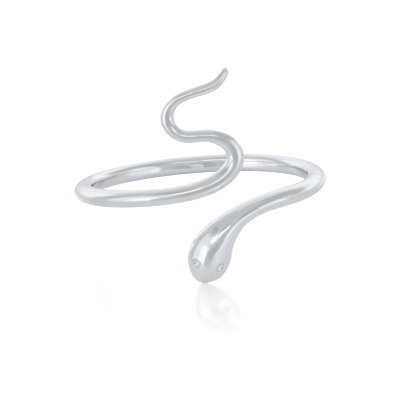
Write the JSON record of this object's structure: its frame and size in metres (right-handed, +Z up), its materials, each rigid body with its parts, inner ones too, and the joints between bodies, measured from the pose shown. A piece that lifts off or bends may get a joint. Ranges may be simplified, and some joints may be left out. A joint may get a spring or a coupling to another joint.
{
  "type": "snake ring",
  "caption": "Finger ring cast as a snake that lies round the finger, with its tail raised in an S in front and its head hanging below.",
  "frame": {"origin": "middle of the footprint's box, on the table that the ring rests on", "axes": "+Z up from the table, +X to the wearer's right as seen from in front, -Y towards the front with tail and head; the finger hole leans back by 16.5 degrees from +Z towards +Y and 2.7 degrees towards +X"},
  "size_m": [0.0204, 0.0218, 0.0159],
  "materials": {
    "silver": "sterling silver, cast and polished bright, rhodium plated"
  },
  "bodies": {
    "root": {"snake_ring": "silver"}
  },
  "joints": []
}
